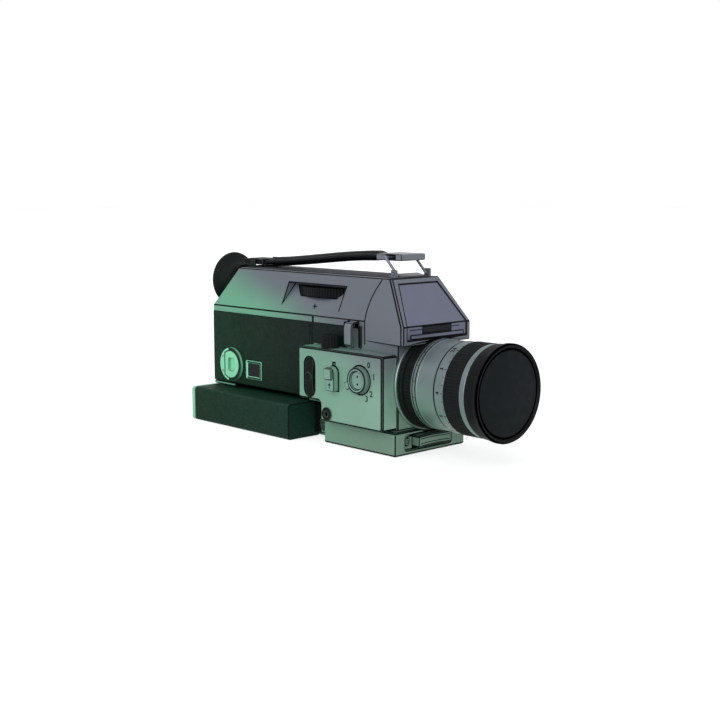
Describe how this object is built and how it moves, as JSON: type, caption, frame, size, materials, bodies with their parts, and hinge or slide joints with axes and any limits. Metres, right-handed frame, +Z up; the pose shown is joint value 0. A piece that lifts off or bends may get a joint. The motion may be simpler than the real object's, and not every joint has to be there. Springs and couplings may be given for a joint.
{
  "type": "cine camera",
  "caption": "Hand-held cine camera with a zoom lens, side control housing, film door, folding battery grip, flared eyecup and a carrying strap on the roof.",
  "frame": {"origin": "on the base's underside, below the lens axis, ahead of the tripod socket", "axes": "+X forward along the lens, +Y to the far side away from the film door, +Z up"},
  "size_m": [0.2638, 0.077, 0.1232],
  "materials": {
    "body_metal": "satin pearl-grey lacquer on a light-alloy casting",
    "panel_metal": "satin grey lacquer on sheet",
    "leatherette": "black grained leatherette over a moulded shell",
    "door_metal": "satin pearl-grey lacquer on sheet",
    "bright_metal": "bright anodised and plated metal",
    "barrel_metal": "satin anodised aluminium",
    "black_metal": "black anodised aluminium",
    "black_plastic": "black moulded plastic",
    "black_rubber": "black moulded rubber",
    "glass": "coated optical glass",
    "cell_jacket": "plain printed steel jacket"
  },
  "bodies": {
    "body": {"housing": "body_metal", "front_bezel": "body_metal", "base_tray": "body_metal", "control_housing": "body_metal", "front_panel": "panel_metal", "label_strip": "panel_metal", "front_leather": "leatherette", "far_leather": "leatherette", "door_hinge_pin": "bright_metal", "cable_socket": "bright_metal", "tripod_bush": "bright_metal", "base_screw_1": "bright_metal", "base_screw_2": "bright_metal", "base_screw_3": "bright_metal", "gate_plate": "bright_metal", "cartridge_spring": "bright_metal", "dial_hub": "bright_metal", "lens_flange": "bright_metal", "bail_bracket": "bright_metal", "rear_bracket": "bright_metal", "grip_bolt": "bright_metal", "lens_barrel": "barrel_metal", "eyepiece_tube": "black_metal", "rocker_liner": "black_plastic", "side_inlay": "black_plastic", "jack_socket": "black_plastic", "roof_strip": "black_plastic", "eyecup": "black_rubber", "finder_window": "glass", "eyepiece_glass": "glass"},
    "grip": {"grip_shell": "leatherette", "battery_1": "cell_jacket", "battery_2": "cell_jacket"},
    "grip_end": {"grip_cap": "bright_metal"},
    "door": {"door_plate": "door_metal", "door_leather": "leatherette", "window_frame": "bright_metal", "window_pane": "glass"},
    "latch": {"latch_disc": "bright_metal"},
    "latch_pull": {"latch_handle": "bright_metal"},
    "release": {"trigger": "bright_metal"},
    "rocker": {"zoom_rocker": "black_plastic"},
    "lever": {"slide_lever": "bright_metal"},
    "dial": {"dial_ring": "bright_metal"},
    "knob": {"side_knob": "black_plastic"},
    "clip": {"clip_lever": "bright_metal"},
    "wheel": {"slope_wheel": "black_plastic"},
    "zoom": {"zoom_ring": "black_rubber"},
    "focus": {"scale_ring": "barrel_metal", "focus_ring": "black_rubber", "front_ring": "barrel_metal", "filter_ring": "black_metal", "front_glass": "glass"},
    "cap": {"lens_cap": "black_plastic"},
    "diopter": {"diopter_ring": "black_metal"},
    "spindle": {"drive_spindle": "black_plastic"},
    "bail": {"strap_bail": "bright_metal"},
    "strap": {"strap_front_clip": "bright_metal", "strap_band": "black_rubber", "strap_rear_clip": "bright_metal"}
  },
  "joints": [
    {"name": "grip_fold", "type": "hinge", "parent": "body", "child": "grip", "pos_m": [-0.0603, -0.0193, 0.01], "axis": [0, -1, 0], "range_deg": [0, 90]},
    {"name": "grip_end_pull", "type": "slide", "parent": "grip", "child": "grip_end", "axis": [-1, 0, 0], "range_m": [0, 0.015]},
    {"name": "door_swing", "type": "hinge", "parent": "body", "child": "door", "pos_m": [-0.0702, -0.0247, 0.054], "axis": [0, 0, 1], "range_deg": [0, 75]},
    {"name": "latch_turn", "type": "hinge", "parent": "door", "child": "latch", "pos_m": [-0.1555, -0.027, 0.0403], "axis": [0, 1, 0], "range_deg": [0, 90]},
    {"name": "latch_pull_fold", "type": "hinge", "parent": "latch", "child": "latch_pull", "pos_m": [-0.1611, -0.0278, 0.0403], "axis": [0, 0, -1], "range_deg": [0, 90]},
    {"name": "trigger_press", "type": "slide", "parent": "body", "child": "release", "axis": [-1, 0, 0], "range_m": [0, 0.0025], "stiffness_N_per_m": 900, "springref_m": -0.001},
    {"name": "rocker_tilt", "type": "hinge", "parent": "body", "child": "rocker", "pos_m": [-0.057, -0.0376, 0.0437], "axis": [1, 0, 0], "range_deg": [-6, 6], "stiffness_Nm_per_rad": 0.19},
    {"name": "lever_shift", "type": "slide", "parent": "body", "child": "lever", "axis": [0, 0, 1], "range_m": [0, 0.003]},
    {"name": "dial_turn", "type": "hinge", "parent": "body", "child": "dial", "pos_m": [-0.0096, -0.0415, 0.0466], "axis": [0, 1, 0], "range_deg": [0, 135]},
    {"name": "knob_turn", "type": "hinge", "parent": "body", "child": "knob", "pos_m": [-0.044, -0.0332, 0.067], "axis": [0, 0, 1], "range_deg": [-150, 150]},
    {"name": "clip_swing", "type": "hinge", "parent": "body", "child": "clip", "pos_m": [-0.0302, -0.0282, 0.0786], "axis": [-1, 0, 0], "range_deg": [0, 50]},
    {"name": "wheel_turn", "type": "hinge", "parent": "body", "child": "wheel", "pos_m": [-0.0695, 0.016, 0.0963], "axis": [0, 0, 1], "range_deg": [-12, 12]},
    {"name": "zoom_turn", "type": "hinge", "parent": "body", "child": "zoom", "pos_m": [0.018, 0, 0.0438], "axis": [1, 0, 0], "range_deg": [-50, 50]},
    {"name": "focus_turn", "type": "hinge", "parent": "body", "child": "focus", "pos_m": [0.055, 0, 0.0438], "axis": [1, 0, 0], "range_deg": [-120, 120]},
    {"name": "cap_pull", "type": "slide", "parent": "focus", "child": "cap", "axis": [1, 0, 0], "range_m": [0, 0.03]},
    {"name": "diopter_turn", "type": "hinge", "parent": "body", "child": "diopter", "pos_m": [-0.1752, 0, 0.098], "axis": [1, 0, 0], "range_deg": [-90, 90]},
    {"name": "spindle_turn", "type": "hinge", "parent": "body", "child": "spindle", "pos_m": [-0.113, 0.015, 0.0445], "axis": [0, 1, 0], "continuous": true},
    {"name": "bail_swing", "type": "hinge", "parent": "body", "child": "bail", "pos_m": [-0.0046, 0, 0.1112], "axis": [0, 1, 0], "range_deg": [0, 20]},
    {"name": "strap_lift", "type": "hinge", "parent": "body", "child": "strap", "pos_m": [-0.151, 0, 0.1126], "axis": [0, -1, 0], "range_deg": [0, 1.17]}
  ],
  "couplings": [
    {"joint": "bail_swing", "follows": "strap_lift", "ratio": 17.09}
  ]
}
